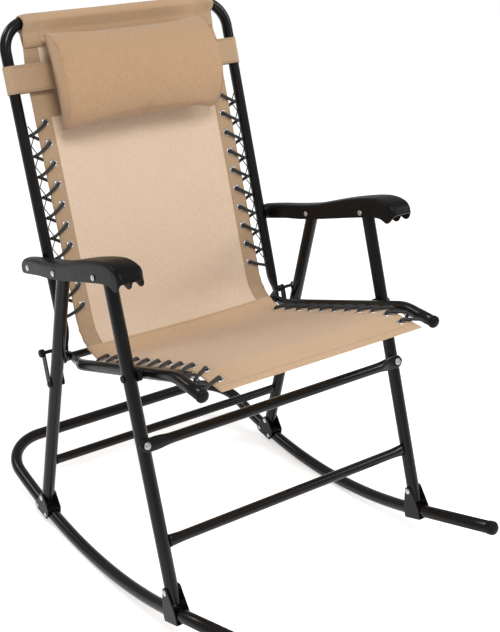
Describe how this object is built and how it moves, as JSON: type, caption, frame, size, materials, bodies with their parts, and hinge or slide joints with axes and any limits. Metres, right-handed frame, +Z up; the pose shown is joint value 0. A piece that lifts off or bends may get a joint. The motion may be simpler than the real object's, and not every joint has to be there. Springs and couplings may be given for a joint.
{
  "type": "folding rocking chair",
  "caption": "Folding camp rocking chair: black tube rockers and legs, plastic armrests, tan laced sling seat and strap-on headrest pillow.",
  "frame": {"origin": "middle of the bounding box, on the floor", "axes": "+Z up, +Y from the front of the chair to its back, +X to the sitter's left"},
  "size_m": [0.6464, 0.945, 1.0212],
  "materials": {
    "black_tube": "satin",
    "black_steel": "satin",
    "bolt_steel": "satin",
    "black_plastic": "satin",
    "arm_plastic": "matte",
    "lace_cord": "matte",
    "tan_fabric": "matte",
    "mesh_fabric": "matte"
  },
  "bodies": {
    "base": {"rocker_base": "black_tube", "rocker_cap_left": "black_plastic", "rocker_cap_right": "black_plastic", "rear_bracket_left": "black_steel", "rear_bracket_right": "black_steel", "rear_leg_rivet_left": "black_steel", "rear_leg_rivet_right": "black_steel"},
    "saddles": {"front_saddle_left": "black_steel", "front_saddle_right": "black_steel", "saddle_rivet_left": "black_steel", "saddle_rivet_right": "black_steel"},
    "front_legs": {"front_leg_left": "black_tube", "front_leg_right": "black_tube", "front_lower_bar": "black_tube", "front_upper_brace": "black_tube", "brace_bolt_left": "bolt_steel", "brace_bolt_right": "bolt_steel", "seat_pivot_bolt_left": "black_steel", "seat_pivot_bolt_right": "black_steel", "seat_spacer_left": "black_plastic", "seat_spacer_right": "black_plastic"},
    "armrests": {"armrest_left": "arm_plastic", "armrest_right": "arm_plastic", "armrest_front_screw_left": "bolt_steel", "armrest_front_screw_right": "bolt_steel", "armrest_mid_screw_left": "bolt_steel", "armrest_mid_screw_right": "bolt_steel", "back_pivot_bolt_left": "bolt_steel", "back_pivot_bolt_right": "bolt_steel"},
    "back": {"back_frame": "black_tube", "back_cross_tube": "black_tube", "link_stud_left": "black_steel", "link_stud_right": "black_steel", "back_lace_left": "lace_cord", "back_lace_right": "lace_cord", "back_wire_left": "black_steel", "back_wire_right": "black_steel", "back_sling": "mesh_fabric"},
    "seat": {"seat_tube_left": "black_tube", "seat_tube_right": "black_tube", "seat_plug_left": "black_plastic", "seat_plug_right": "black_plastic", "hinge_rivet_left": "bolt_steel", "hinge_rivet_right": "bolt_steel", "seat_lace_left": "lace_cord", "seat_lace_right": "lace_cord", "seat_wire_left": "black_steel", "seat_wire_right": "black_steel", "seat_sling": "tan_fabric", "hip_sling": "mesh_fabric"},
    "rear_legs": {"rear_leg_left": "black_tube", "rear_leg_right": "black_tube", "rear_crossbar": "black_tube"},
    "links": {"yoke_link_left": "black_steel", "yoke_link_right": "black_steel"},
    "headrest": {"headrest_pillow": "tan_fabric", "headrest_strap": "tan_fabric"}
  },
  "joints": [
    {"name": "frame_fold", "type": "hinge", "parent": "saddles", "child": "front_legs", "pos_m": [0, -0.24574, 0.10691], "axis": [1, 0, 0], "range_deg": [0, 57.46]},
    {"name": "saddle_travel", "type": "hinge", "parent": "base", "child": "saddles", "pos_m": [0, 0.08106, 1.11171], "axis": [1, 0, 0], "range_deg": [0, 16.96]},
    {"name": "armrest_pivot", "type": "hinge", "parent": "front_legs", "child": "armrests", "pos_m": [0, -0.0702, 0.6533], "axis": [1, 0, 0], "range_deg": [-65.02, 0]},
    {"name": "back_pivot", "type": "hinge", "parent": "armrests", "child": "back", "pos_m": [0, 0.23318, 0.57156], "axis": [1, 0, 0], "range_deg": [0, 65.02]},
    {"name": "seat_hinge", "type": "hinge", "parent": "back", "child": "seat", "pos_m": [0, 0.17726, 0.39741], "axis": [1, 0, 0], "range_deg": [-65.02, 0], "deforming": ["hip_sling"]},
    {"name": "rear_leg_pivot", "type": "hinge", "parent": "base", "child": "rear_legs", "pos_m": [0, 0.24178, 0.05527], "axis": [1, 0, 0], "range_deg": [0, 44.02]},
    {"name": "link_pivot", "type": "hinge", "parent": "rear_legs", "child": "links", "pos_m": [0, 0.1649, 0.35145], "axis": [1, 0, 0], "range_deg": [-86.62, 0]},
    {"name": "headrest_height", "type": "slide", "parent": "back", "child": "headrest", "axis": [0, 0.3059, 0.9521], "range_m": [-0.04, 0.012]}
  ],
  "couplings": [
    {"joint": "saddle_travel", "follows": "frame_fold", "ratio": 0.29481},
    {"joint": "armrest_pivot", "follows": "frame_fold", "ratio": -1.1312},
    {"joint": "back_pivot", "follows": "frame_fold", "ratio": 1.1312},
    {"joint": "seat_hinge", "follows": "frame_fold", "ratio": -1.1312},
    {"joint": "rear_leg_pivot", "follows": "frame_fold", "ratio": 0.76575},
    {"joint": "link_pivot", "follows": "frame_fold", "ratio": -1.5071}
  ]
}
